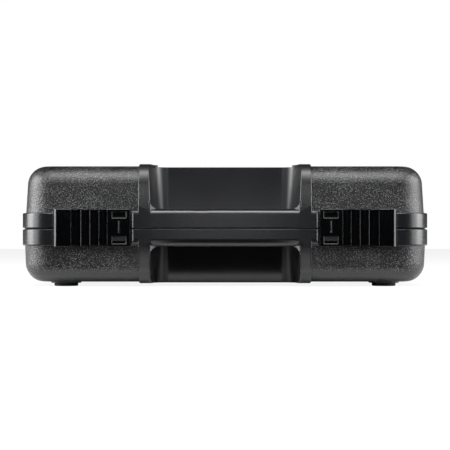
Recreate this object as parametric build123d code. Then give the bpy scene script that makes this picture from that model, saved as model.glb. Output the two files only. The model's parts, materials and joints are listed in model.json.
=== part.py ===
"""Moulded carry case for a small pedalboard: half shells, slide latches, hinges, feet and foam.

Millimetres and degrees. The origin is the bottom centre of the closed case, +X is to the right,
+Y is towards the hinges and +Z is up. The handle and the latches face -Y.
"""
import math
import os
from dataclasses import dataclass

from build123d import *


@dataclass
class Half:
    """Sizes of one half shell, measured outwards from the parting plane."""

    height: float  # parting plane to the flat outer skin
    rim_height: float  # the stepped band beside the parting plane
    rim_step: float  # from the band's face in to the skin, at the parting plane
    draft: float  # lean of the side walls
    bar_height: float  # this half's share of the handle bar
    bar_edge_r: float  # outer front edge of the bar
    rib_height: float  # how proud the columns stand of the skin at its edge
    notch_draft: float  # lean of the finger recess's walls


LID = Half(60.4, 15.1, 2.4, 3.4, 18.8, 5.6, 1.9, 5.0)
BASE = Half(51.1, 16.4, 1.5, 2.5, 17.1, 7.5, 1.4, 4.5)

# shells
CASE_WIDTH = 393.0
RIM_DEPTH = 254.0
RIM_CORNER_R = 32.0
SHELL_EDGE_R = 18.0
WALL = 3.0
SEAM = 0.3
RIM_INNER_EDGE_R = 1.2
SHADOW_GAP = 1.6
SHADOW_GAP_DEPTH = 1.8
SHADOW_GAP_EDGE_R = 0.4
OVERLAP = 1.0  # how far a cut runs past a face, or a joined piece runs into its wall
NEAR = 0.01  # how close to a place an edge has to be to count as there

# rubber feet and their bosses
FOOT_R = 11.6
FOOT_HEIGHT = 4.2
FOOT_EDGE_R = 1.2
FOOT_INSET_X = 41.5
FOOT_INSET_Y = 39.0
FOOT_BOSS_R = 14.8
FOOT_BOSS_HEIGHT = 1.5
FOOT_SOCKET_DEPTH = 1.2
FOOT_CLEARANCE = 0.3
BASE_LIFT = 4.5
SCREW_R = 1.5
SCREW_HEAD_R = 3.2
SCREW_HEAD_HEIGHT = 1.8
SCREW_RECESS = 1.0
SCREW_LENGTH = 8.0
SCREW_TIP_GAP = 0.3
SCREW_POST_R = 4.0
SCREW_POST_HEIGHT = 4.0

# finger recess behind the handle
NOTCH_FRONT_HALF = 68.4
NOTCH_BACK_HALF = 62.8
NOTCH_DEPTH = 38.0
NOTCH_CORNER_R = 7.5
BACK_LIP_WIDTH = 8.0

# handle bar and the columns at its ends
BAR_HALF_LENGTH = 89.0
BAR_PROUD = 8.0
BAR_BOW = 4.5
BAR_END_DROP = 2.2
BAR_END_EDGE_R = 3.2
BAR_DEPTH = 18.0
BAR_BACK_EDGE_R = 5.0
BAR_SEAM = 0.8
BAR_SEAM_EDGE_R = 0.6
BAR_WALL = 2.8
BAR_POCKETS = 6
BAR_POCKET_RIB = 2.0
BAR_POCKET_HALF_LENGTH = 66.0
COLUMN_OUTER_HALF = 82.5
COLUMN_INNER_HALF = 66.0
COLUMN_EDGE_R = 1.0
COLUMN_EASE = 6.0
COLUMN_ROOT = 2.0
WEB_R = 7.5

# locating tongue inside the rims
TONGUE_HEIGHT = 3.0
TONGUE_WIDTH = 1.5
TONGUE_CLEARANCE = 0.8
TONGUE_ROOT = 0.5
TONGUE_FRONT_INSET = 30.5
TONGUE_HINGE_GAP = 2.0

# slide latches
LATCH_INNER_END = 90.4
LATCH_LENGTH = 72.2
LATCH_TRAVEL = 10.0
LATCH_PLATE = 2.6
LATCH_GAP = 0.3
LATCH_TOP = 18.8
LATCH_BOTTOM = 17.2
LATCH_EDGE_R = 0.7
LATCH_END_BEVEL = (1.4, 1.9)
LATCH_RUN = 0.3
LATCH_LEG_REACH = 2.2
LATCH_LEG_BOTTOM = 1.3
LATCH_RIBS = 4
LATCH_RIB_PITCH = 8.6
LATCH_RIB_WIDTH = 7.4
LATCH_RIB_RISE = 1.0
LATCH_RIB_FIRST = 116.3
LATCH_RIB_BED = 0.9
WINDOW_START = 3.8
WINDOW_WIDTH = 13.0
WINDOW_TOP = (10.3, 16.0)
WINDOW_BOTTOM = (-14.2, -7.7)
WINDOW_EDGE_R = 0.7
RIDGE_WIDTH = 1.2
RIDGE_LENGTH = 11.4
RIDGE_RISE = 0.7
SEAT_DEPTH = 2.6
SEAT_END_GAP = 0.6
RAIL_Z = -8.6
RAIL_HEAD = 6.8
RAIL_HEAD_THICK = 1.0
RAIL_STEM = 2.4
RAIL_FRONT_GAP = 0.2
HOOK_THICK = 1.0
HOOK_LENGTH = 41.0
HOOK_MARGIN = 1.5
LEG_END_MARGIN = 1.0

# hinges
HINGE_INSET = 78.5
HINGE_SET_BACK = 3.0
KNUCKLE_R = 5.0
KNUCKLES = 5
KNUCKLE_LENGTH = 12.0
KNUCKLE_GAP = 0.5
KNUCKLE_SWEEP = 0.6
HINGE_BORE_OVERRUN = 5.0
WEB_DEPTH = 7.5
PIN_R = 2.0
PIN_CLEARANCE_BASE = 0.02
PIN_CLEARANCE_LID = 0.06
PIN_OVERHANG = 0.6

# foam fittings
PAD_THICKNESS = 5.0
FOAM_GAP = 0.6
FOAM_SPLIT = 0.5
FOAM_BELOW_SEAM = 4.0
POST_HOLE_GAP = 1.0
PEDAL_COUNT = 3
PEDAL_PITCH = 100.0
POCKET_WIDTH = 76.0
POCKET_LENGTH = 132.0
FRONT_STRIP = 12.0
TROUGH_INSET = 44.5
TROUGH_MARGIN = 10.0
TROUGH_FLOOR = 8.0
CUBBY_WALL = 9.0
STRIP_HALF_LENGTH = 70.0
GRIP_WIDTH = 25.0
GRIP_LENGTH = 100.0
GRIP_THICKNESS = 2.5
GRIP_SPACING = 38.0
LID_FOAM_THICKNESS = 22.0

PARTING_Z = BASE_LIFT + BASE.height
FRONT = -RIM_DEPTH / 2
BAR_FRONT = BAR_PROUD - FRONT
HINGE_X = CASE_WIDTH / 2 - HINGE_INSET
HINGE_AXIS_Y = HINGE_SET_BACK - FRONT
NOTCH_BACK = FRONT + NOTCH_DEPTH
FAR = 200.0
LATCH_OUTER_END = LATCH_INNER_END + LATCH_LENGTH
SEAT_FACE = FRONT + SEAT_DEPTH


def box(x, y, z):
    """A box between two values along each axis."""
    size = [high - low for low, high in (x, y, z)]
    centre = [(high + low) / 2 for low, high in (x, y, z)]
    return Pos(*centre) * Box(*size)


def both_sides(solid):
    """The solid and its mirror image across the middle of the case."""
    return [solid, mirror(solid, about=Plane.YZ)]


def tub(half, inset=0.0):
    """The drafted, round-edged body of a half, drawn in by inset on all sides but its mouth."""
    step = half.rim_step + inset
    plan = RectangleRounded(CASE_WIDTH - 2 * step, RIM_DEPTH - 2 * step, RIM_CORNER_R - step)
    body = extrude(plan, half.height - inset, taper=half.draft)
    return fillet(body.faces().sort_by(Axis.Z)[-1].edges(), SHELL_EDGE_R - inset)


def rim(half):
    """The stepped band beside the parting plane, still solid inside."""
    band = Pos(0, 0, SEAM / 2) * extrude(
        RectangleRounded(CASE_WIDTH, RIM_DEPTH, RIM_CORNER_R), half.rim_height - SEAM / 2
    )
    band = fillet(band.faces().sort_by(Axis.Z)[-1].edges(), RIM_INNER_EDGE_R)
    inner = SHADOW_GAP_DEPTH
    band -= extrude(
        RectangleRounded(CASE_WIDTH + FAR, RIM_DEPTH + FAR, RIM_CORNER_R)
        - RectangleRounded(CASE_WIDTH - 2 * inner, RIM_DEPTH - 2 * inner, RIM_CORNER_R - inner),
        SHADOW_GAP / 2,
    )
    step = SHADOW_GAP / 2
    edges = band.edges().filter_by_position(Axis.Z, step - NEAR, step + NEAR)
    return fillet(edges.filter_by(lambda edge: on_rim_face(edge @ 0.5)), SHADOW_GAP_EDGE_R)


def on_rim_face(point):
    """Whether a point is on the outermost face of the rim."""
    beyond_x = abs(point.X) - (CASE_WIDTH / 2 - RIM_CORNER_R)
    beyond_y = abs(point.Y) - (RIM_DEPTH / 2 - RIM_CORNER_R)
    if beyond_x > 0 and beyond_y > 0:
        return math.hypot(beyond_x, beyond_y) > RIM_CORNER_R - SHADOW_GAP_EDGE_R
    return max(beyond_x, beyond_y) > RIM_CORNER_R - SHADOW_GAP_EDGE_R


def notch_half_width(half, y, z=0.0):
    """Half the recess's width at y, and at height z outwards from the parting plane."""
    slope = (NOTCH_FRONT_HALF - NOTCH_BACK_HALF) / NOTCH_DEPTH
    return NOTCH_FRONT_HALF + (FRONT - y) * slope + z * math.tan(math.radians(half.notch_draft))


def notch(half, grow=0.0):
    """The finger recess as a solid; it widens from the parting plane to the outer skin."""
    ahead = 2 * half.rim_height
    wide = notch_half_width(half, FRONT - ahead)
    outline = Polyline(
        (-wide, FRONT - ahead),
        (wide, FRONT - ahead),
        (NOTCH_BACK_HALF, NOTCH_BACK),
        (-NOTCH_BACK_HALF, NOTCH_BACK),
        close=True,
    )
    plan = make_face(outline)
    plan = fillet(plan.vertices().sort_by(Axis.Y)[-2:], NOTCH_CORNER_R)
    if grow:
        plan = offset(plan, grow, kind=Kind.INTERSECTION)
    return extrude(plan, half.height + half.rib_height + OVERLAP, taper=-half.notch_draft)


def bar_axis():
    """The upright axis that the handle bar's bow turns about, and the bow's radius."""
    radius = (BAR_HALF_LENGTH**2 + BAR_BOW**2) / (2 * BAR_BOW)
    return Axis((0, radius - BAR_FRONT, 0), (0, 0, 1)), radius


def bow_sweep(section, half_length):
    """Turn a section about the bow's axis, to the same distance left and right."""
    axis, radius = bar_axis()
    half_angle = math.degrees(math.asin(half_length / radius))
    turned = revolve(section, axis, 2 * half_angle)
    return turned.rotate(axis, -half_angle)


def handle_bar(half):
    """This half's share of the handle: a bowed channel, ribbed inside and open at the parting."""
    low = BAR_SEAM / 2
    front, back = -BAR_FRONT, -BAR_FRONT + BAR_DEPTH
    section = Plane.YZ * Pos((front + back) / 2, (low + half.bar_height) / 2) * Rectangle(
        BAR_DEPTH, half.bar_height - low
    )
    corners = section.vertices().sort_by(Axis.Z)
    section = fillet(corners[2:].sort_by(Axis.Y)[0], half.bar_edge_r)
    section = fillet(section.vertices().sort_by(Axis.Z)[-2:].sort_by(Axis.Y)[-1], BAR_BACK_EDGE_R)
    section = fillet(section.vertices().sort_by(Axis.Z)[:2], BAR_SEAM_EDGE_R)
    bar = bow_sweep(section, BAR_HALF_LENGTH + BAR_END_EDGE_R)
    axis, radius = bar_axis()
    plan = Pos(0, axis.position.Y) * Circle(radius) & Pos(0, -BAR_FRONT) * Rectangle(
        2 * BAR_HALF_LENGTH, 4 * BAR_DEPTH
    )
    plan = fillet(plan.vertices().sort_by(Axis.Y)[:2], BAR_END_EDGE_R)
    bar &= extrude(plan, half.bar_height)
    beyond = box(
        (COLUMN_OUTER_HALF, 2 * BAR_HALF_LENGTH),
        (-FAR, 0),
        (half.bar_height - BAR_END_DROP, half.height),
    )
    for side in both_sides(beyond):
        bar -= side

    hollow_top = half.bar_height - BAR_WALL
    hollow = Plane.YZ * Pos((front + back) / 2, hollow_top / 2) * Rectangle(
        BAR_DEPTH - 2 * BAR_WALL, hollow_top
    )
    hollow = fillet(hollow.vertices().sort_by(Axis.Z)[-2:], half.bar_edge_r - BAR_WALL)
    pitch = 2 * BAR_POCKET_HALF_LENGTH / BAR_POCKETS
    pocket = bow_sweep(hollow, (pitch - BAR_POCKET_RIB) / 2)
    for index in range(BAR_POCKETS):
        along = (index - (BAR_POCKETS - 1) / 2) * pitch
        bar -= pocket.rotate(axis, math.degrees(math.asin(along / radius)))
    return bar


def skin_y(half, z, proud=0.0):
    """Where the front skin of a half is at height z, moved outwards by proud."""
    lean = math.radians(half.draft)
    return FRONT + half.rim_step + z * math.tan(lean) - proud / math.cos(lean)


def column(half):
    """A smooth strap that leans from the bar up the front, over the edge and back."""
    foot_y = -BAR_FRONT + BAR_BOW * (NOTCH_FRONT_HALF / BAR_HALF_LENGTH) ** 2
    foot_top = half.bar_height - half.bar_edge_r
    top = half.height + half.rib_height
    top_y = skin_y(half, top, half.rib_height)
    arc_start = top - SHELL_EDGE_R - half.rib_height
    arc_y = top_y + (foot_y - top_y) * (top - arc_start) / (top - foot_top)
    ease_y = (arc_y - foot_y) * COLUMN_EASE / (arc_start - foot_top)
    end = NOTCH_BACK + BACK_LIP_WIDTH
    root = COLUMN_ROOT
    outline = (
        Polyline((skin_y(half, 0, -root), BAR_SEAM / 2), (foot_y, BAR_SEAM / 2), (foot_y, foot_top))
        + Bezier(
            (foot_y, foot_top),
            (foot_y, foot_top + COLUMN_EASE),
            (arc_y - ease_y, arc_start - COLUMN_EASE),
            (arc_y, arc_start),
        )
        + Polyline(
            (arc_y, arc_start),
            (top_y, top),
            (end, top),
            (end, half.height - root),
            (skin_y(half, half.height - root, -root), half.height - root),
            (skin_y(half, 0, -root), BAR_SEAM / 2),
        )
    )
    side = make_face(Plane.YZ * outline)
    corners = side.vertices().filter_by(lambda v: abs(v.Z - top) < root)
    side = fillet(corners.sort_by(Axis.Y)[0], SHELL_EDGE_R)
    corners = side.vertices().filter_by(lambda v: abs(v.Z - (half.height - root)) < root / 2)
    side = fillet(corners.sort_by(Axis.Y)[0], SHELL_EDGE_R - root)
    width = COLUMN_OUTER_HALF - COLUMN_INNER_HALF
    strap = Pos(COLUMN_INNER_HALF, 0, 0) * extrude(side, width, dir=(1, 0, 0))
    axis, radius = bar_axis()
    strap &= Pos(0, axis.position.Y) * extrude(Circle(radius), top)
    strap = fillet(proud_edges(half, strap.faces().sort_by(Axis.X)[-1]), COLUMN_EDGE_R)
    strap -= notch(half)
    inner = strap.faces().filter_by(lambda face: face.normal_at().X < -math.cos(math.pi / 4))
    return fillet(proud_edges(half, inner.sort_by(SortBy.AREA)[-1]), COLUMN_EDGE_R)


def proud_edges(half, face):
    """The edges of a strap's side face that stand clear of the skin and of the bar."""
    end = NOTCH_BACK + BACK_LIP_WIDTH

    def stands_clear(edge):
        middle = edge @ 0.5
        if middle.Z > half.height:
            return middle.Y < end - COLUMN_ROOT
        return middle.Y < skin_y(half, middle.Z) and middle.Z > BAR_SEAM

    return face.edges().filter_by(stands_clear)


def corner_web(half):
    """The rounded corner between a column and the top of the bar."""
    z = half.bar_height
    x = notch_half_width(half, -BAR_FRONT + BAR_BOW, z + WEB_R)
    square = make_face(Polyline(
        (x - WEB_R, z - OVERLAP),
        (x + OVERLAP, z - OVERLAP),
        (x + OVERLAP, z + WEB_R),
        (x - WEB_R, z + WEB_R),
        close=True,
    ))
    web = square - Pos(x - WEB_R, z + WEB_R) * Circle(WEB_R)
    back = -BAR_FRONT + BAR_DEPTH
    block = Pos(0, back, 0) * extrude(Plane.XZ * web, BAR_DEPTH)
    front = -BAR_FRONT + BAR_BOW * (x / BAR_HALF_LENGTH) ** 2 + COLUMN_EDGE_R / 2
    plan = make_face(Polyline(
        (x + OVERLAP, back),
        (x - WEB_R, back),
        (x - WEB_R, front + half.bar_edge_r),
        (x, front),
        (x + OVERLAP, front),
        close=True,
    ))
    return block & extrude(plan, z + 2 * WEB_R)


def knuckle_span(index):
    """Low and high X of one knuckle of the right-hand hinge."""
    pitch = KNUCKLE_LENGTH + KNUCKLE_GAP
    middle = HINGE_X + (index - (KNUCKLES - 1) / 2) * pitch
    return middle - KNUCKLE_LENGTH / 2, middle + KNUCKLE_LENGTH / 2


def rod(radius, span):
    """A round bar on the hinge line between two X values."""
    low, high = span
    return Pos((low + high) / 2, HINGE_AXIS_Y, 0) * Rot(0, 90, 0) * Cylinder(radius, high - low)


def hinge_knuckles(shell, own, bore_clearance):
    """Add this half's knuckles to its rear rim and clear the room the other half's turn in."""
    for index in range(KNUCKLES):
        low, high = knuckle_span(index)
        if index not in own:
            cleared = rod(KNUCKLE_R + KNUCKLE_SWEEP, (low - KNUCKLE_GAP, high + KNUCKLE_GAP))
            for side in both_sides(cleared):
                shell -= side
    for index in own:
        span = knuckle_span(index)
        web = box(span, (HINGE_AXIS_Y - WEB_DEPTH, HINGE_AXIS_Y), (SEAM / 2, KNUCKLE_R))
        knuckle = rod(KNUCKLE_R, span) + web
        for side in both_sides(knuckle):
            shell += side
    low, high = knuckle_span(0)[0], knuckle_span(KNUCKLES - 1)[1]
    bore = rod(PIN_R + bore_clearance, (low - HINGE_BORE_OVERRUN, high + HINGE_BORE_OVERRUN))
    for side in both_sides(bore):
        shell -= side
    return shell


def half_shell(half, own_knuckles, bore_clearance):
    """One moulded half, outwards from the parting plane, without what only one half has."""
    shell = tub(half) + rim(half) - notch(half)
    for side in both_sides(column(half) + corner_web(half)):
        shell += side
    shell += handle_bar(half)
    shell -= tub(half, WALL) - notch(half, WALL)
    shell -= box((-FAR, FAR), (FRONT + half.rim_step, FAR), (-KNUCKLE_R, SEAM / 2))
    seat = box(
        (LATCH_INNER_END - SEAT_END_GAP, LATCH_OUTER_END + SEAT_END_GAP),
        (FRONT - OVERLAP, SEAT_FACE),
        (-OVERLAP, half.rim_height),
    )
    for side in both_sides(seat):
        shell -= side
    return hinge_knuckles(shell, own_knuckles, bore_clearance)


def tongue_ring(outer, inner, height, end_gap=0.0):
    """A band along the sides and the back between two depths from the rim's face."""
    ring = extrude(
        RectangleRounded(CASE_WIDTH - 2 * outer, RIM_DEPTH - 2 * outer, RIM_CORNER_R - outer)
        - RectangleRounded(CASE_WIDTH - 2 * inner, RIM_DEPTH - 2 * inner, RIM_CORNER_R - inner),
        height,
    )
    front_gap = CASE_WIDTH / 2 - TONGUE_FRONT_INSET - end_gap
    ring -= box((-front_gap, front_gap), (FRONT, 0), (0, height))
    rear_gap = knuckle_span(KNUCKLES - 1)[1] + TONGUE_HINGE_GAP - end_gap
    return ring - box((-rear_gap, rear_gap), (0, -FRONT), (0, height))


def foot_places():
    """Names and XY places of the four feet."""
    foot_x = CASE_WIDTH / 2 - FOOT_INSET_X
    foot_y = RIM_DEPTH / 2 - FOOT_INSET_Y
    for row, y in (("front", -foot_y), ("rear", foot_y)):
        for side, x in (("left", -foot_x), ("right", foot_x)):
            yield f"foot_{row}_{side}", x, y


def to_base(solid):
    """Turn a half that was drawn upwards into the base, below the parting plane."""
    return Pos(0, 0, PARTING_Z) * mirror(solid, about=Plane.XY)


def base_shell():
    """The lower half, with the latch rails, the locating lip and the feet's bosses."""
    shell = half_shell(BASE, [0, 2, 4], PIN_CLEARANCE_BASE)
    lip = box(
        (-COLUMN_OUTER_HALF, COLUMN_OUTER_HALF),
        (NOTCH_BACK - WALL, NOTCH_BACK + BACK_LIP_WIDTH),
        (BASE.height - COLUMN_ROOT, BASE.height + BASE.rib_height),
    )
    lip = fillet(lip.edges().filter_by(Axis.X).sort_by(Axis.Z)[-2:].sort_by(Axis.Y)[-1], COLUMN_EDGE_R)
    shell += lip - notch(BASE)
    shell = to_base(shell)
    rail = box(
        (LATCH_INNER_END, LATCH_OUTER_END),
        (FRONT - LATCH_GAP + RAIL_FRONT_GAP, FRONT + RAIL_HEAD_THICK),
        (PARTING_Z + RAIL_Z - RAIL_HEAD / 2, PARTING_Z + RAIL_Z + RAIL_HEAD / 2),
    )
    stem = box(
        (LATCH_INNER_END, LATCH_OUTER_END),
        (FRONT, SEAT_FACE + OVERLAP / 2),
        (PARTING_Z + RAIL_Z - RAIL_STEM / 2, PARTING_Z + RAIL_Z + RAIL_STEM / 2),
    )
    for side in both_sides(rail + stem):
        shell += side
    inner = BASE.rim_step + WALL
    lip = tongue_ring(inner - TONGUE_WIDTH, inner, TONGUE_HEIGHT + TONGUE_ROOT)
    shell += Pos(0, 0, PARTING_Z - TONGUE_ROOT) * lip
    for name, x, y in foot_places():
        boss = Pos(x, y, BASE_LIFT - FOOT_BOSS_HEIGHT / 2) * Cylinder(FOOT_BOSS_R, FOOT_BOSS_HEIGHT)
        boss = fillet(boss.edges().sort_by(Axis.Z)[0], FOOT_BOSS_HEIGHT / 2)
        shell += boss
        post = SCREW_POST_HEIGHT + WALL
        shell += Pos(x, y, BASE_LIFT + post / 2) * Cylinder(SCREW_POST_R, post)
        socket_r = FOOT_R + FOOT_CLEARANCE
        socket_top = BASE_LIFT - FOOT_BOSS_HEIGHT + FOOT_SOCKET_DEPTH
        shell -= Pos(x, y, socket_top / 2) * Cylinder(socket_r, socket_top)
        bore = SCREW_RECESS + SCREW_HEAD_HEIGHT + SCREW_LENGTH + SCREW_TIP_GAP
        shell -= Pos(x, y, bore / 2) * Cylinder(SCREW_R, bore)
    return shell


def lid_shell():
    """The upper half, with the rebate that the base's lip fits into."""
    shell = Pos(0, 0, PARTING_Z) * half_shell(LID, [1, 3], PIN_CLEARANCE_LID)
    outer = BASE.rim_step + WALL - TONGUE_WIDTH - TONGUE_CLEARANCE
    inner = LID.rim_step + WALL + OVERLAP
    depth = TONGUE_HEIGHT + TONGUE_CLEARANCE
    rebate = tongue_ring(outer, inner, depth + OVERLAP, TONGUE_CLEARANCE)
    return shell - Pos(0, 0, PARTING_Z - OVERLAP) * rebate


def latch_right():
    """A gloss slider: ribbed face, spring tongue between two windows, hooks round its rail."""
    face = FRONT - LATCH_GAP - LATCH_PLATE
    back = FRONT - LATCH_GAP
    low, high = PARTING_Z - LATCH_BOTTOM, PARTING_Z + LATCH_TOP
    plate = box((LATCH_INNER_END, LATCH_OUTER_END), (face, back), (low, high))
    front_edges = plate.faces().sort_by(Axis.Y)[0].edges()
    end_edge = front_edges.sort_by(Axis.X)[-1]
    end_face = plate.faces().sort_by(Axis.X)[-1]
    plate = chamfer(end_edge, *LATCH_END_BEVEL, reference=end_face)
    front_edges = plate.faces().filter_by(Plane.XZ).sort_by(Axis.Y)[0].edges()
    plate = fillet(front_edges.filter_by(Axis.X), LATCH_EDGE_R)

    bed_low = LATCH_RIB_FIRST - LATCH_RIB_PITCH / 2
    bed_high = bed_low + LATCH_RIBS * LATCH_RIB_PITCH
    plate -= box(
        (bed_low, bed_high),
        (face - OVERLAP, face + LATCH_RIB_BED),
        (low - OVERLAP, high + OVERLAP),
    )
    rib_r = (LATCH_RIB_WIDTH**2 / 4 + LATCH_RIB_RISE**2) / (2 * LATCH_RIB_RISE)
    rib_height = high - low - 2 * LATCH_EDGE_R
    for index in range(LATCH_RIBS):
        x = LATCH_RIB_FIRST + index * LATCH_RIB_PITCH
        centre_y = face + LATCH_RIB_BED - LATCH_RIB_RISE + rib_r
        round_bar = Pos(x, centre_y, (low + high) / 2) * Cylinder(rib_r, rib_height)
        slab = box((x - rib_r, x + rib_r), (face - OVERLAP, face + 2 * LATCH_RIB_BED), (low, high))
        plate += round_bar & slab

    window_x = (LATCH_INNER_END + WINDOW_START, LATCH_INNER_END + WINDOW_START + WINDOW_WIDTH)
    for z_low, z_high in (WINDOW_TOP, WINDOW_BOTTOM):
        window_z = (PARTING_Z + z_low, PARTING_Z + z_high)
        plate -= box(window_x, (face - OVERLAP, back + OVERLAP), window_z)
        around = plate.edges()
        for axis, (low_side, high_side) in (
            (Axis.X, window_x), (Axis.Y, (face, face)), (Axis.Z, window_z)
        ):
            around = around.filter_by_position(axis, low_side - NEAR, high_side + NEAR)
        plate = fillet(around, WINDOW_EDGE_R)
    ridge_x = sum(window_x) / 2
    ridge_z = PARTING_Z + (WINDOW_TOP[0] + WINDOW_BOTTOM[1]) / 2
    plate += box(
        (ridge_x - RIDGE_WIDTH / 2, ridge_x + RIDGE_WIDTH / 2),
        (face - RIDGE_RISE, face + OVERLAP),
        (ridge_z - RIDGE_LENGTH / 2, ridge_z + RIDGE_LENGTH / 2),
    )

    leg_x = (LATCH_INNER_END, LATCH_OUTER_END - LATCH_TRAVEL - LEG_END_MARGIN)
    leg_y = (back - OVERLAP, back + LATCH_LEG_REACH)
    plate += box(leg_x, leg_y, (PARTING_Z + LID.rim_height + LATCH_RUN, high))
    plate += box(leg_x, leg_y, (low, low + LATCH_LEG_BOTTOM))

    hook_x = (window_x[1] + HOOK_MARGIN, window_x[1] + HOOK_MARGIN + HOOK_LENGTH)
    hook_back = SEAT_FACE - LATCH_RUN
    head_back = FRONT + RAIL_HEAD_THICK + LATCH_RUN
    for sign in (-1, 1):
        head_side = PARTING_Z + RAIL_Z + sign * (RAIL_HEAD / 2 + LATCH_RUN)
        outside = head_side + sign * HOOK_THICK
        stem_side = PARTING_Z + RAIL_Z + sign * (RAIL_STEM / 2 + LATCH_RUN)
        plate += box(hook_x, (back - OVERLAP, hook_back), sorted((head_side, outside)))
        plate += box(hook_x, (head_back, hook_back), sorted((stem_side, outside)))
    return plate


def hinge_pin():
    """The right-hand steel hinge pin."""
    low, high = knuckle_span(0)[0], knuckle_span(KNUCKLES - 1)[1]
    pin = rod(PIN_R, (low - PIN_OVERHANG, high + PIN_OVERHANG))
    pin = chamfer(pin.edges().filter_by(GeomType.CIRCLE), PIN_OVERHANG / 2)
    return Pos(0, 0, PARTING_Z) * pin


def rubber_foot(x, y):
    """A round foot with a recess for its screw."""
    foot = Pos(x, y, FOOT_HEIGHT / 2) * Cylinder(FOOT_R, FOOT_HEIGHT)
    foot = fillet(foot.edges().sort_by(Axis.Z)[0], FOOT_EDGE_R)
    recess = SCREW_RECESS + SCREW_HEAD_HEIGHT
    foot -= Pos(x, y, recess / 2) * Cylinder(SCREW_HEAD_R + FOOT_CLEARANCE, recess)
    return foot - Pos(x, y, FOOT_HEIGHT / 2) * Cylinder(SCREW_R + FOOT_CLEARANCE, FOOT_HEIGHT)


def foot_screw(x, y):
    """The pan-head screw that holds a foot to its post."""
    head_top = SCREW_RECESS + SCREW_HEAD_HEIGHT
    head = Pos(x, y, head_top - SCREW_HEAD_HEIGHT / 2) * Cylinder(SCREW_HEAD_R, SCREW_HEAD_HEIGHT)
    head = fillet(head.edges().sort_by(Axis.Z)[0], SCREW_HEAD_HEIGHT / 3)
    shank_r = SCREW_R - PIN_CLEARANCE_BASE
    return head + Pos(x, y, head_top + SCREW_LENGTH / 2) * Cylinder(shank_r, SCREW_LENGTH)


def foam_room(half, inset, low, high):
    """The room that foam can fill in a half, between two distances from the parting plane."""
    room = tub(half, inset) - notch(half, inset)
    return room & box((-FAR, FAR), (-FAR, FAR), (low, high))


def base_pad():
    """A thin sheet on the base's floor, with holes over the feet's screw posts."""
    floor = BASE.height - WALL
    sheet = foam_room(BASE, WALL + FOAM_GAP, floor - PAD_THICKNESS, floor)
    sheet = to_base(sheet)
    for name, x, y in foot_places():
        post_hole = Cylinder(SCREW_POST_R + POST_HOLE_GAP, 4 * PAD_THICKNESS)
        sheet -= Pos(x, y, BASE_LIFT + PAD_THICKNESS) * post_hole
    return sheet


def foam_blocks():
    """The blocks that make three pedal pockets, a cable trough and two front cubbies."""
    top = PARTING_Z - FOAM_BELOW_SEAM
    bottom = BASE_LIFT + WALL + PAD_THICKNESS + FOAM_GAP
    mass = to_base(foam_room(BASE, WALL + FOAM_GAP, FOAM_BELOW_SEAM, PARTING_Z - bottom))
    pocket_front = NOTCH_BACK + WALL + FOAM_GAP + FRONT_STRIP
    pocket_back = pocket_front + POCKET_LENGTH
    outer = PEDAL_PITCH * (PEDAL_COUNT - 1) / 2 + POCKET_WIDTH / 2
    height = (bottom - OVERLAP, top + OVERLAP)
    front_rows = (-FAR, pocket_front)
    middle_rows = (pocket_front + FOAM_SPLIT, pocket_back)
    rear_rows = (pocket_back + FOAM_SPLIT, FAR)

    strip_x = (-STRIP_HALF_LENGTH, STRIP_HALF_LENGTH)
    blocks = {"foam_front_strip": mass & box(strip_x, front_rows, height)}
    corner = mass & box((STRIP_HALF_LENGTH + FOAM_SPLIT, FAR), front_rows, height)
    spot = corner.bounding_box()
    corner -= box(
        (spot.min.X + 2 * CUBBY_WALL, spot.max.X - 2 * CUBBY_WALL),
        (spot.min.Y + CUBBY_WALL, spot.max.Y - CUBBY_WALL),
        (bottom + TROUGH_FLOOR, top + OVERLAP),
    )
    side = mass & box((outer + FOAM_SPLIT, FAR), middle_rows, height)
    pairs = {"foam_front_block": corner, "foam_side_block": side}
    for name, block in pairs.items():
        right, left = both_sides(block)
        blocks[f"{name}_right"] = right
        blocks[f"{name}_left"] = left
    gap = (PEDAL_PITCH - POCKET_WIDTH) / 2
    for index in range(PEDAL_COUNT - 1):
        x = (index - (PEDAL_COUNT - 2) / 2) * PEDAL_PITCH
        blocks[f"foam_divider_{index + 1}"] = mass & box((x - gap, x + gap), middle_rows, height)
    rear = mass & box((-FAR, FAR), rear_rows, height)
    spot = rear.bounding_box()
    trough_half = CASE_WIDTH / 2 - TROUGH_INSET
    blocks["foam_rear_block"] = rear - box(
        (-trough_half, trough_half),
        (spot.min.Y + TROUGH_MARGIN, spot.max.Y - TROUGH_MARGIN),
        (bottom + TROUGH_FLOOR, top + OVERLAP),
    )
    return blocks


def grip_strips():
    """Two hook strips on the floor sheet in each pedal pocket."""
    pocket_front = NOTCH_BACK + WALL + FOAM_GAP + FRONT_STRIP
    y = pocket_front + POCKET_LENGTH / 2
    z = BASE_LIFT + WALL + PAD_THICKNESS
    strips = []
    for index in range(PEDAL_COUNT):
        x = (index - (PEDAL_COUNT - 1) / 2) * PEDAL_PITCH
        for offset_x in (-GRIP_SPACING / 2, GRIP_SPACING / 2):
            strips.append(box(
                (x + offset_x - GRIP_WIDTH / 2, x + offset_x + GRIP_WIDTH / 2),
                (y - GRIP_LENGTH / 2, y + GRIP_LENGTH / 2),
                (z, z + GRIP_THICKNESS),
            ))
    return Compound(children=strips)


def lid_foam():
    """The thick pad under the lid's ceiling."""
    ceiling = LID.height - WALL
    pad = foam_room(LID, WALL + FOAM_GAP, ceiling - LID_FOAM_THICKNESS, ceiling)
    return Pos(0, 0, PARTING_Z) * pad


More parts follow.
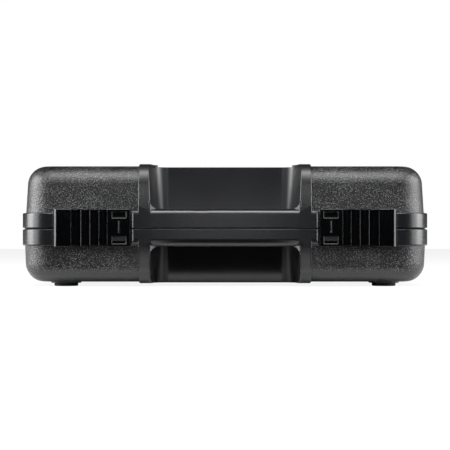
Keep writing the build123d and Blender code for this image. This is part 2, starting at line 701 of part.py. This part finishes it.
def parts():
    """Every node of the case, by name."""
    slider_right, slider_left = both_sides(latch_right())
    pin_right, pin_left = both_sides(hinge_pin())
    nodes = {
        "base_shell": base_shell(),
        "lid_shell": lid_shell(),
        "latch_slider_left": slider_left,
        "latch_slider_right": slider_right,
        "hinge_pin_left": pin_left,
        "hinge_pin_right": pin_right,
        "foot_screws": Compound(children=[foot_screw(x, y) for name, x, y in foot_places()]),
        "base_floor_pad": base_pad(),
        "pedal_grip_strips": grip_strips(),
        "lid_foam_pad": lid_foam(),
    }
    nodes.update({name: rubber_foot(x, y) for name, x, y in foot_places()})
    nodes.update(foam_blocks())
    return nodes


os.makedirs("parts", exist_ok=True)
for node, solid in parts().items():
    export_step(solid, f"parts/{node}.step")
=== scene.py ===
"""Looks of the moulded pedalboard case, in metres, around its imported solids."""
import json
import math

import bmesh
import bpy
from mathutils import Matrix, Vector, noise


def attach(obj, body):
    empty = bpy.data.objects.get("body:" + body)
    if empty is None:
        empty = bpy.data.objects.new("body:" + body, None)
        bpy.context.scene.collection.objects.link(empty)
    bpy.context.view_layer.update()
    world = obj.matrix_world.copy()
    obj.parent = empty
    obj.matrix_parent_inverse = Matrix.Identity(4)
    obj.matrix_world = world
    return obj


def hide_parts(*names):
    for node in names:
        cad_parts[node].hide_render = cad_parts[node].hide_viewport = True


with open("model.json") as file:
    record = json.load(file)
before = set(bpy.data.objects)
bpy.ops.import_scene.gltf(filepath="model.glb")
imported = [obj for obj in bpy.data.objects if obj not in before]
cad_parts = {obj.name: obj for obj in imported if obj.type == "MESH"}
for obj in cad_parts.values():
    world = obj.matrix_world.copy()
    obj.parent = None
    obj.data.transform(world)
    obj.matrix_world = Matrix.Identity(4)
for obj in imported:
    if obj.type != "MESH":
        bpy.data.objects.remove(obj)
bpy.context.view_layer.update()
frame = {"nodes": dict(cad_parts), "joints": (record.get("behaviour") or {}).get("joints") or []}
scene = bpy.context.scene

# Camera: level with the base's wall and square to the handle side, as the photo was taken, with a
# long lens. It is turned up a little, so that the case sits in the picture where it does there.
PHOTO_PX = 450
HORIZON_PX = 240
FOCAL_PX = 1490
EYE = Vector((0.0, -1.545, 0.0447))
NEAREST = 0.01
camera = bpy.data.objects.new("camera", bpy.data.cameras.new("camera"))
scene.collection.objects.link(camera)
camera.location = EYE
camera.rotation_euler = (math.pi / 2 + math.atan((HORIZON_PX - PHOTO_PX / 2) / FOCAL_PX), 0, 0)
camera.data.lens = FOCAL_PX / PHOTO_PX * camera.data.sensor_width
camera.data.clip_start = NEAREST
scene.camera = camera

# Stage: a white table that shows as plain white with a soft shadow, and a dark room that shows as
# white too. Softboxes stand high in front, twice on each side and weakly behind the camera. To
# bounced and reflected rays the table is painted black in front of the case, a painted shade; it
# stays white from just in front of the case backwards and in two painted pools of light just in
# front of the straps.
HINGE = next(joint for joint in frame["joints"] if joint["name"] == "lid_hinge")
PARTING_Z = HINGE["pos_m"][2]
TABLE_SIZE = 12.0
TABLE_SHADOW = 0.12
TABLE_WHITE = (0.7, 0.7, 0.7, 1)
TABLE_PAINTED_SHADE = (0.01, 0.01, 0.01, 1)
TABLE_FRONT = -0.150
TABLE_BLUR = 0.02
PATCH_SPAN = (0.070, 0.092)
PATCH_FRONT = -0.205
PATCH_BLUR = 0.006
WHITE = (1, 1, 1)
ROOM_LIGHT = (0.006, 0.006, 0.0065)
SOFTBOXES = {
    "top_softbox": {"at": (0.0, -1.15, 2.1), "size": (2.6, 1.0), "watts": 95},
    "front_softbox": {"at": (0.0, -2.1, 1.7), "size": (2.4, 0.6), "watts": 26},
    "left_softbox": {"at": (-2.1, -0.64, 0.7), "size": (1.3, 1.6), "watts": 50},
    "right_softbox": {"at": (2.1, -0.64, 0.7), "size": (1.3, 1.6), "watts": 42},
    "left_rear_softbox": {"at": (-2.2, 0.05, 0.7), "size": (1.1, 1.6), "watts": 62},
    "right_rear_softbox": {"at": (2.2, 0.05, 0.7), "size": (1.1, 1.6), "watts": 48},
    "fill_softbox": {"at": (0.0, -2.6, 0.33), "size": (0.9, 0.27), "watts": 3.1},
}


class Value:
    """A number or colour in a shader; arithmetic on it adds Math nodes."""

    def __init__(self, shader, socket):
        self.shader, self.socket = shader, socket

    def math(self, operation, other=0.0):
        return self.shader.node("ShaderNodeMath", {"operation": operation}, {0: self, 1: other})

    def __add__(self, other):
        return self.math("ADD", other)

    def __sub__(self, other):
        return self.math("SUBTRACT", other)

    def __mul__(self, other):
        return self.math("MULTIPLY", other)

    def __truediv__(self, other):
        return self.math("DIVIDE", other)

    def __rsub__(self, other):
        return self * -1 + other

    def __abs__(self):
        return self.math("ABSOLUTE")

    __radd__, __rmul__ = __add__, __mul__

    def above(self, edge, blur):
        """1 where the value is past edge and 0 before it, over a blur as wide as given."""
        return self.shader.node(
            "ShaderNodeMapRange",
            {"interpolation_type": "SMOOTHSTEP"},
            {"Value": self, "From Min": edge - blur / 2, "From Max": edge + blur / 2},
        )

    def below(self, edge, blur):
        return 1 - self.above(edge, blur)

    def between(self, low, high, blur):
        return self.above(low, blur) * self.below(high, blur)

    def either(self, other):
        """The larger of two masks."""
        return self.math("MAXIMUM", other)


class Finish:
    """One material, or the room's light, and the nodes that make it."""

    def __init__(self, name=None, holder=None):
        self.material = holder or bpy.data.materials.new(name)
        self.material.use_nodes = True
        self.tree = self.material.node_tree
        self.tree.nodes.clear()

    def node(self, kind, settings=None, inputs=None, output=0):
        """Adds a node with its settings and its sockets' values or links, and gives one output."""
        made = self.tree.nodes.new(kind)
        for name, setting in (settings or {}).items():
            setattr(made, name, setting)
        for name, given in (inputs or {}).items():
            if isinstance(given, Value):
                self.tree.links.new(given.socket, made.inputs[name])
            else:
                made.inputs[name].default_value = given
        return Value(self, made.outputs[output]) if made.outputs else None

    def place(self):
        """Where a point of the surface is in the case, whole and as x, y and z, in metres."""
        point = self.node("ShaderNodeTexCoord", output="Object")
        split = self.node("ShaderNodeSeparateXYZ", inputs={"Vector": point}).socket.node
        return point, [Value(self, split.outputs[axis]) for axis in "XYZ"]

    def noise(self, point, cell, detail=2.0, roughness=0.5):
        """Soft noise from 0 to 1 whose blotches are about cell metres across."""
        inputs = {"Vector": point, "Scale": 1 / cell, "Detail": detail, "Roughness": roughness}
        return self.node("ShaderNodeTexNoise", inputs=inputs)

    def blend(self, factor, first, second):
        """A colour that goes from first to second as factor goes from 0 to 1."""
        pair = [one if isinstance(one, Value) else (*one, 1) for one in (first, second)]
        inputs = {0: factor, 6: pair[0], 7: pair[1]}
        return self.node("ShaderNodeMix", {"data_type": "RGBA"}, inputs, output=2)

    def bump(self, strength, depth, height, normal=None):
        """A normal tilted as if the skin rose and fell by depth, on top of the one given."""
        inputs = {"Strength": strength, "Distance": depth, "Height": height}
        if normal is not None:
            inputs["Normal"] = normal
        return self.node("ShaderNodeBump", inputs=inputs)

    def shade(self, **settings):
        """Ends the material in a Principled shader; names are the sockets' with _ for a space."""
        inputs = {name.replace("_", " "): given for name, given in settings.items()}
        shader = self.node("ShaderNodeBsdfPrincipled", inputs=inputs)
        self.node("ShaderNodeOutputMaterial", inputs={"Surface": shader})
        return self.material


def seen_directly(finish):
    """1 for rays from the camera, also through glass, so that they meet white."""
    light_path = finish.node("ShaderNodeLightPath").socket.node
    straight = Value(finish, light_path.outputs["Is Camera Ray"])
    through = Value(finish, light_path.outputs["Is Transmission Ray"])
    return straight.either(through)


def make_table():
    mesh = bpy.data.meshes.new("table")
    form = bmesh.new()
    bmesh.ops.create_grid(form, x_segments=1, y_segments=1, size=TABLE_SIZE / 2)
    form.to_mesh(mesh)
    form.free()
    table = bpy.data.objects.new("table", mesh)
    scene.collection.objects.link(table)
    finish = Finish("white_table")
    _, (x, y, _) = finish.place()
    matte = finish.node("ShaderNodeBsdfDiffuse", inputs={"Color": TABLE_WHITE})
    # Painted shade: bounced and reflected rays meet this black on the table in front of the case.
    black = finish.node("ShaderNodeBsdfDiffuse", inputs={"Color": TABLE_PAINTED_SHADE})
    glow = finish.node("ShaderNodeEmission", inputs={"Color": (*WHITE, 1), "Strength": 1.0})
    painted_light_patch = abs(x).between(*PATCH_SPAN, PATCH_BLUR) * y.above(PATCH_FRONT, TABLE_BLUR)
    painted_light_zone = y.above(TABLE_FRONT, TABLE_BLUR).either(painted_light_patch)
    bounce = finish.node("ShaderNodeMixShader", inputs={0: painted_light_zone, 1: black, 2: matte})
    white = finish.node("ShaderNodeMixShader", inputs={0: 1 - TABLE_SHADOW, 1: matte, 2: glow})
    shown = finish.node("ShaderNodeMixShader", inputs={0: seen_directly(finish), 1: bounce, 2: white})
    finish.node("ShaderNodeOutputMaterial", inputs={"Surface": shown})
    mesh.materials.append(finish.material)


def make_room():
    scene.world = bpy.data.worlds.new("room")
    finish = Finish(holder=scene.world)
    colour = finish.blend(seen_directly(finish), ROOM_LIGHT, WHITE)
    light = finish.node("ShaderNodeBackground", inputs={"Color": colour, "Strength": 1.0})
    finish.node("ShaderNodeOutputWorld", inputs={"Surface": light})


def make_softbox(name, at, size, watts):
    lamp = bpy.data.lights.new(name, "AREA")
    lamp.shape = "RECTANGLE"
    lamp.size, lamp.size_y = size
    lamp.energy = watts
    holder = bpy.data.objects.new(name, lamp)
    scene.collection.objects.link(holder)
    holder.location = at
    holder.visible_camera = False
    aim = Vector((0, 0, PARTING_Z)) - holder.location
    holder.rotation_euler = aim.to_track_quat("-Z", "Y").to_euler()


make_table()
make_room()
for softbox, setting in SOFTBOXES.items():
    make_softbox(softbox, **setting)
scene.view_settings.view_transform = "Standard"

# Half shells: injection-moulded black plastic, each in one piece with its half of the handle. The
# skin has a fine pebble grain from the tool, its pebbles' tops painted light as painted glints;
# rims, handle, straps and recess are satin smooth. The seam, the latches' seats and the lower half
# of the recess are painted deep black, a painted shade.
MASK_BLUR = 0.0006
RIM_TOP = PARTING_Z + 0.0151
RIM_BOTTOM = PARTING_Z - 0.0164
HANDLE_HALF = 0.0825
HANDLE_BACK = -0.0810
OUTSIDE_BLUR = 0.001
GRAIN_BOTTOM = 0.0150
GRAIN_FADE = 0.0040
RECESS_FRONT = -0.1260
RECESS_WALL = 0.0560
RECESS_WALL_BLUR = 0.0030
SEAT_DEPTH = (-0.1264, -0.1240)
SEAT_SPAN = (0.0898, 0.1632)
SEAT_BLUR = 0.0004
GAP_HALF = 0.0009
GAP_BLUR = 0.0002
BAR_FRONT = -0.1350
BAR_HALF = 0.0890
BAR_BOW = 0.0045
BAR_CLEAR_HALF = 0.0610
BAR_TOP, BAR_TOP_ROUND = PARTING_Z + 0.0188, 0.0056
BAR_BOTTOM, BAR_BOTTOM_ROUND = PARTING_Z - 0.0171, 0.0075
BAR_SKIN = 0.0009
BOW_RADIUS = (BAR_HALF**2 + BAR_BOW**2) / (2 * BAR_BOW)
BOW_AXIS_Y = BOW_RADIUS + BAR_FRONT
PEBBLE = 0.0012
PEBBLE_SOFTNESS = 0.35
PEBBLE_SHARE = 0.7
FINE_GRAIN = 0.0006
FINE_SHARE = 0.5
DRIFT = 0.03
GRAIN_DEPTH = 0.00034
GRAIN_STRENGTH = 0.9
GRAIN_CONTRAST = 1.6
DRIFT_CONTRAST = 0.3
SKIN_TONE = (1.42, 0.5)
SKIN_DARK = (0.0005, 0.0005, 0.0006)
SKIN_GLINT_PAINT = (0.165, 0.165, 0.171)
SMOOTH_DARK = (0.0040, 0.0043, 0.0052)
SMOOTH_LIGHT = (0.0052, 0.0056, 0.0066)
SHADE_PAINT_BLACK = (0.0008, 0.0008, 0.0009)
SATIN = 0.25
SATIN_DRIFT = 0.04
GRAIN_DULL = 0.13
WALL_DULL = 0.22
SHADE_DULL = 0.6
RECESS_SHINE = 0.09
LOW_RECESS_SHINE = 0.04
EDGE_ROUND = 0.0007
EDGE_SAMPLES = 4


def dress(node, material):
    """Gives a solid of the case its material."""
    slots = frame["nodes"][node].data.materials
    slots.clear()
    slots.append(material)


def rounded_edges(finish, radius):
    """The normal that the surface has with its hairline edges rounded."""
    return finish.node("ShaderNodeBevel", {"samples": EDGE_SAMPLES}, {"Radius": radius})


def bar_normal(finish, place, normal):
    """The bar's true normal on its bowed front and its long round edges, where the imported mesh's
    slim triangles would bend a highlight. Elsewhere it is the normal given."""
    x, y, z = place
    y = y - BOW_AXIS_Y
    out = (x * x + y * y).math("SQRT")
    upper = z.above(PARTING_Z, MASK_BLUR)
    radius = upper * (BAR_TOP_ROUND - BAR_BOTTOM_ROUND) + BAR_BOTTOM_ROUND
    past_top = (z - (BAR_TOP - BAR_TOP_ROUND)).math("MAXIMUM", 0.0)
    past_bottom = (z - (BAR_BOTTOM + BAR_BOTTOM_ROUND)).math("MINIMUM", 0.0)
    lift = past_top + past_bottom
    reach = out - BOW_RADIUS + radius
    off_surface = abs((reach * reach + lift * lift).math("SQRT") - radius)
    on_bar = off_surface.below(BAR_SKIN, BAR_SKIN / 2) * reach.above(0.0, BAR_SKIN)
    on_bar = on_bar * abs(x).below(BAR_CLEAR_HALF, MASK_BLUR)
    on_bar = on_bar * abs(z - PARTING_Z).above(2 * GAP_HALF, MASK_BLUR)
    true = finish.node("ShaderNodeCombineXYZ", inputs={
        "X": x / out * reach, "Y": y / out * reach, "Z": lift,
    })
    true = finish.node(
        "ShaderNodeVectorTransform",
        {"vector_type": "NORMAL", "convert_from": "OBJECT", "convert_to": "WORLD"},
        {"Vector": true},
    )
    sides = {0: on_bar, 4: normal, 5: true}
    return finish.node("ShaderNodeMix", {"data_type": "VECTOR"}, sides, output=1)


def faces_out(finish, point):
    """1 on the shells' outside, whose normal points away from the middle of the case."""
    normal = finish.node("ShaderNodeTexCoord", output="Normal")
    from_middle = finish.node(
        "ShaderNodeVectorMath", {"operation": "SUBTRACT"}, {0: point, 1: (0, 0, PARTING_Z)}
    )
    outwards = finish.node(
        "ShaderNodeVectorMath", {"operation": "DOT_PRODUCT"}, {0: normal, 1: from_middle},
        output="Value",
    )
    return outwards.above(0.0, OUTSIDE_BLUR)


def shell_plastic():
    finish = Finish("shell_plastic")
    point, (x, y, z) = finish.place()
    aside = abs(x)
    off_rim = z.above(RIM_TOP, MASK_BLUR) + z.below(RIM_BOTTOM, MASK_BLUR)
    off_handle = aside.above(HANDLE_HALF, MASK_BLUR).either(y.above(HANDLE_BACK, MASK_BLUR))
    grained = faces_out(finish, point) * off_rim * off_handle * z.above(GRAIN_BOTTOM, GRAIN_FADE)
    recess = y.above(RECESS_FRONT, MASK_BLUR) * aside.below(HANDLE_HALF, MASK_BLUR)
    low_recess = recess * z.below(PARTING_Z, MASK_BLUR)
    recess_wall = recess * aside.above(RECESS_WALL, RECESS_WALL_BLUR)
    seat = y.between(*SEAT_DEPTH, SEAT_BLUR) * aside.between(*SEAT_SPAN, SEAT_BLUR)
    seat = seat * z.between(RIM_BOTTOM, RIM_TOP, MASK_BLUR)
    painted_shade_zone = seat.either(abs(z - PARTING_Z).below(GAP_HALF, GAP_BLUR))

    pebbles = finish.node(
        "ShaderNodeTexVoronoi", {"feature": "SMOOTH_F1"},
        {"Vector": point, "Scale": 1 / PEBBLE, "Smoothness": PEBBLE_SOFTNESS}, output="Distance",
    )
    fine = finish.noise(point, FINE_GRAIN, detail=3.0, roughness=0.6)
    drift = finish.noise(point, DRIFT)
    height = (1 - pebbles) * PEBBLE_SHARE + fine * FINE_SHARE
    # Painted glints: the pebbles' raised tops are painted much lighter than the skin between them,
    # with a slow random drift in tone.
    tone = (height * GRAIN_CONTRAST + drift * DRIFT_CONTRAST).above(*SKIN_TONE)
    skin = finish.blend(tone, SKIN_DARK, SKIN_GLINT_PAINT)
    smooth = finish.blend(drift, SMOOTH_DARK, SMOOTH_LIGHT)
    # Painted shade: the seam, the latches' seats and the recess's lower half get a deep black colour.
    smooth = finish.blend(low_recess.either(painted_shade_zone), smooth, SHADE_PAINT_BLACK)
    rough = SATIN + drift * SATIN_DRIFT + grained * GRAIN_DULL
    rough = rough + recess_wall * WALL_DULL + painted_shade_zone * SHADE_DULL
    rough = rough - recess * RECESS_SHINE - low_recess * LOW_RECESS_SHINE
    normal = bar_normal(finish, (x, y, z), rounded_edges(finish, EDGE_ROUND))
    return finish.shade(
        Base_Color=finish.blend(grained, smooth, skin),
        Roughness=rough,
        Normal=finish.bump(GRAIN_STRENGTH, GRAIN_DEPTH, height * grained, normal),
        Specular_IOR_Level=0.5,
        IOR=1.5,
    )


plastic = shell_plastic()
for shell in ("base_shell", "lid_shell"):
    dress(shell, plastic)

# Slide latches: gloss black acetal, one moulding each, with a thumb grip of four round ribs and a
# spring tongue between two windows. They hook round a rail on the base. The outer end is worn.
LATCH_COLOUR = (0.0006, 0.0007, 0.0009)
LATCH_SCUFF = (0.0012, 0.0013, 0.0016)
LATCH_SCUFF_SIZE = 0.006
LATCH_SCUFF_DEPTH = 0.0001
LATCH_SCUFF_STRENGTH = 0.15
LATCH_GLOSS = 0.04
LATCH_SCUFF_DULL = 0.04
LATCH_WORN_FROM = 0.1610
LATCH_WORN_DULL = 0.35
LATCH_EDGE_ROUND = EDGE_ROUND / 2


def latch_plastic():
    finish = Finish("latch_plastic")
    point, (x, _, _) = finish.place()
    scuffs = finish.noise(point, LATCH_SCUFF_SIZE, detail=4.0, roughness=0.65)
    worn = abs(x).above(LATCH_WORN_FROM, MASK_BLUR)
    edges = rounded_edges(finish, LATCH_EDGE_ROUND)
    return finish.shade(
        Base_Color=finish.blend(scuffs, LATCH_COLOUR, LATCH_SCUFF),
        Roughness=LATCH_GLOSS + scuffs * LATCH_SCUFF_DULL + worn * LATCH_WORN_DULL,
        Normal=finish.bump(LATCH_SCUFF_STRENGTH, LATCH_SCUFF_DEPTH, scuffs, edges),
    )


gloss = latch_plastic()
for latch in ("latch_slider_left", "latch_slider_right"):
    dress(latch, gloss)

# Hinge pins: drawn steel wire, pushed through the knuckles on the two shells' rear rims. They sit
# tight in the base's knuckles, and the lid's turn on them.
STEEL = (0.48, 0.48, 0.49)
STEEL_BRIGHT = (0.6, 0.6, 0.6)
STEEL_STREAK = 0.002
STEEL_GLOSS = 0.22
STEEL_STREAK_DULL = 0.2


def steel():
    finish = Finish("steel")
    point, _ = finish.place()
    streaks = finish.noise(point, STEEL_STREAK, detail=3.0)
    return finish.shade(
        Base_Color=finish.blend(streaks, STEEL, STEEL_BRIGHT),
        Metallic=1.0,
        Roughness=STEEL_GLOSS + streaks * STEEL_STREAK_DULL,
    )


drawn_steel = steel()
for pin in ("hinge_pin_left", "hinge_pin_right"):
    dress(pin, drawn_steel)

# Feet: black rubber discs, each pressed into a shallow boss under the base and held by a steel
# pan-head screw in its middle. Their sides carry a little dust.
RUBBER = (0.005, 0.005, 0.005)
RUBBER_DUST = (0.012, 0.012, 0.0115)
DUST_SIZE = 0.004
DUST_DEPTH = 0.0001
DUST_STRENGTH = 0.3
RUBBER_DULL = 0.6
DUST_DULL = 0.2


def rubber():
    finish = Finish("rubber")
    point, _ = finish.place()
    dust = finish.noise(point, DUST_SIZE, detail=4.0, roughness=0.7)
    return finish.shade(
        Base_Color=finish.blend(dust, RUBBER, RUBBER_DUST),
        Roughness=RUBBER_DULL + dust * DUST_DULL,
        Specular_IOR_Level=0.3,
        Normal=finish.bump(DUST_STRENGTH, DUST_DEPTH, dust),
    )


foot_rubber = rubber()
for row in ("front", "rear"):
    for side in ("left", "right"):
        dress(f"foot_{row}_{side}", foot_rubber)
dress("foot_screws", drawn_steel)

# Foam: charcoal open-cell polyurethane, die-cut in blocks that stand on a thin sheet in the base.
# A cut piece has softened edges and faces that are a little hollow, so each is remeshed and eased.
FOAM_DARK = (0.0045, 0.0045, 0.005)
FOAM_LIGHT = (0.040, 0.041, 0.044)
FOAM_TONE = (0.78, 0.8)
FOAM_CELL = 0.0016
FOAM_CELL_SHARE = 0.8
FOAM_CRUMB_SHARE = 0.6
FOAM_DEPTH = 0.0007
FOAM_DRIFT = 0.05
FOAM_DRIFT_CONTRAST = 0.3
FOAM_DULL = 0.86
FOAM_CRUMB_DULL = 0.1
FOAM_GRID = 0.0030
FOAM_EASE_PASSES = 3
FOAM_EASE = 0.5
FOAM_HOLLOW = 0.0009
FOAM_WAVE = 0.045
FOAM_BLOCKS = [name for name in frame["nodes"] if name.startswith("foam_")]


def open_cell_foam():
    finish = Finish("open_cell_foam")
    point, _ = finish.place()
    cells = finish.node(
        "ShaderNodeTexVoronoi", {"feature": "F1"}, {"Vector": point, "Scale": 1 / FOAM_CELL},
        output="Distance",
    )
    crumbs = finish.noise(point, FOAM_CELL / 2, detail=4.0, roughness=0.7)
    drift = finish.noise(point, FOAM_DRIFT, detail=3.0)
    height = cells * FOAM_CELL_SHARE + crumbs * FOAM_CRUMB_SHARE
    tone = (height + drift * FOAM_DRIFT_CONTRAST).above(*FOAM_TONE)
    return finish.shade(
        Base_Color=finish.blend(tone, FOAM_DARK, FOAM_LIGHT),
        Roughness=FOAM_DULL + crumbs * FOAM_CRUMB_DULL,
        Normal=finish.bump(1.0, FOAM_DEPTH, height),
        Specular_IOR_Level=0.15,
        Sheen_Weight=0.15,
        Sheen_Roughness=0.6,
    )


def soft_copy(node, grid):
    """A finely meshed copy of a foam solid, with its corners eased."""
    copy = bpy.data.objects.new("solid_copy", frame["nodes"][node].data.copy())
    scene.collection.objects.link(copy)
    remesh = copy.modifiers.new("remesh", "REMESH")
    remesh.mode = "VOXEL"
    remesh.voxel_size = grid
    fine = bpy.data.meshes.new_from_object(copy.evaluated_get(bpy.context.evaluated_depsgraph_get()))
    bpy.data.objects.remove(copy)
    form = bmesh.new()
    form.from_mesh(fine)
    for _ in range(FOAM_EASE_PASSES):
        bmesh.ops.smooth_vert(
            form, verts=form.verts, factor=FOAM_EASE,
            use_axis_x=True, use_axis_y=True, use_axis_z=True,
        )
    form.normal_update()
    return form


def hollow_in(form):
    """Draws the faces in a little, in slow waves, as cut foam settles."""
    for vertex in form.verts:
        wave = 0.5 + 0.5 * noise.noise(vertex.co / FOAM_WAVE)
        vertex.co -= vertex.normal * FOAM_HOLLOW * max(wave, 0)


def new_piece(form, name, node, body, material):
    """Makes a finished mesh the piece that stands for a solid."""
    mesh = bpy.data.meshes.new(name)
    form.to_mesh(mesh)
    form.free()
    for face in mesh.polygons:
        face.use_smooth = True
    mesh.materials.append(material)
    piece = bpy.data.objects.new(name, mesh)
    scene.collection.objects.link(piece)
    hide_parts(node)
    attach(piece, body)
    return piece


foam = open_cell_foam()
for block in FOAM_BLOCKS:
    form = soft_copy(block, FOAM_GRID)
    hollow_in(form)
    piece = new_piece(form, f"{block}_cut", block, "base", foam)

# Floor sheet: the same foam, rolled 5 mm thin, glued to the base's floor and cut out round the
# screw posts. The blocks stand on it.
SHEET_GRID = 0.0022
form = soft_copy("base_floor_pad", SHEET_GRID)
piece = new_piece(form, "base_floor_sheet", "base_floor_pad", "base", foam)

# Lid pad: convoluted foam, glued under the lid's ceiling with its egg-crate side down. The peaks
# reach the solid's lower face and the hollows rise into it.
CRATE_PITCH = 0.032
CRATE_DEPTH = 0.011
CRATE_REACH = 0.004


def egg_crate(form):
    """Lifts the lower face into rows of round hollows."""
    floor = min(vertex.co.z for vertex in form.verts)
    turns = 2 * math.pi / CRATE_PITCH
    for vertex in form.verts:
        height = vertex.co.z - floor
        if height < CRATE_REACH:
            dip = 0.5 - 0.5 * math.cos(turns * vertex.co.x) * math.cos(turns * vertex.co.y)
            vertex.co.z += CRATE_DEPTH * dip * (1 - height / CRATE_REACH)
    form.normal_update()


form = soft_copy("lid_foam_pad", FOAM_GRID)
egg_crate(form)
hollow_in(form)
piece = new_piece(form, "lid_egg_crate", "lid_foam_pad", "lid", foam)

# Hook strips: woven black tape glued to the floor sheet, with rows of moulded hooks that the
# loop tape under a pedal catches on. Every second row leans the other way.
TAPE_THICKNESS = 0.0009
TAPE_EDGE = 0.0012
TAPE_DARK = (0.004, 0.004, 0.0045)
TAPE_LIGHT = (0.018, 0.018, 0.020)
WEAVE = 0.0006
WEAVE_DEPTH = 0.0002
WEAVE_STRENGTH = 0.4
TAPE_DULL = 0.45
WEAVE_DULL = 0.15
SAME_PLACE = 1e-6
HOOK_PITCH = 0.0025
HOOK_BORDER = 0.0016
HOOK_RADIUS = 0.00024
HOOK_CORNERS = (math.pi / 2, math.pi * 7 / 6, math.pi * 11 / 6)
HOOK_PATH = [(0.0, 0.0), (0.0, 0.7), (0.25, 0.95), (0.6, 1.0), (0.75, 0.65)]
HOOK_TURN = 0.0013


def hook_tape():
    finish = Finish("hook_tape")
    point, _ = finish.place()
    weave = finish.noise(point, WEAVE, roughness=0.6)
    return finish.shade(
        Base_Color=finish.blend(weave, TAPE_DARK, TAPE_LIGHT),
        Roughness=TAPE_DULL + weave * WEAVE_DULL,
        Normal=finish.bump(WEAVE_STRENGTH, WEAVE_DEPTH, weave),
    )


def loose_boxes(node):
    """The lowest and the highest corner of each separate solid in a node."""
    form = bmesh.new()
    form.from_mesh(frame["nodes"][node].data)
    bmesh.ops.remove_doubles(form, verts=form.verts, dist=SAME_PLACE)
    seen = set()
    for start in form.verts:
        if start in seen:
            continue
        seen.add(start)
        group = [start]
        for vertex in group:
            joined = {edge.other_vert(vertex) for edge in vertex.link_edges} - seen
            seen |= joined
            group.extend(joined)
        places = [vertex.co for vertex in group]
        yield [Vector([pick(p[axis] for p in places) for axis in range(3)]) for pick in (min, max)]
    form.free()


def close_rings(form, rings):
    """Joins rings of as many points each to one closed skin, from the lowest to the highest."""
    for lower, upper in zip(rings, rings[1:]):
        for side in range(len(lower)):
            form.faces.new((lower[side - 1], lower[side], upper[side], upper[side - 1]))
    form.faces.new(rings[-1])
    form.faces.new(rings[0][::-1])


def add_tape(form, low, high):
    """The flat backing, with its edge turned in at the top."""
    rings = []
    for inset, rise in ((0.0, 0.0), (0.0, 0.5), (TAPE_EDGE, 1.0)):
        x = (low.x + inset, high.x - inset)
        y = (low.y + inset, high.y - inset)
        z = low.z + rise * TAPE_THICKNESS
        corners = ((x[0], y[0]), (x[1], y[0]), (x[1], y[1]), (x[0], y[1]))
        rings.append([form.verts.new((*corner, z)) for corner in corners])
    close_rings(form, rings)


def add_hook(form, foot, rise, lean):
    """One hook: a three-sided stalk that bends over at its top."""
    rings = []
    for along, up in HOOK_PATH:
        place = foot + Vector((0, lean * along * HOOK_TURN, rise * up))
        rings.append([
            form.verts.new(place + Vector((math.cos(turn), math.sin(turn), 0)) * HOOK_RADIUS)
            for turn in HOOK_CORNERS
        ])
    close_rings(form, rings)


def hook_strips():
    """All the strips as one mesh, each with its backing and its rows of hooks."""
    form = bmesh.new()
    for low, high in loose_boxes("pedal_grip_strips"):
        add_tape(form, low, high)
        root = low.z + TAPE_THICKNESS - HOOK_RADIUS
        room = high - low - Vector((2 * HOOK_BORDER, 2 * HOOK_BORDER, 0))
        columns = int(room.x / HOOK_PITCH)
        rows = int(room.y / HOOK_PITCH)
        for row in range(rows + 1):
            for column in range(columns + 1):
                foot = Vector((
                    low.x + HOOK_BORDER + room.x * column / columns,
                    low.y + HOOK_BORDER + room.y * row / rows,
                    root,
                ))
                add_hook(form, foot, high.z - root - HOOK_RADIUS, 1 if row % 2 else -1)
    return form


new_piece(hook_strips(), "hook_strips", "pedal_grip_strips", "base", hook_tape())
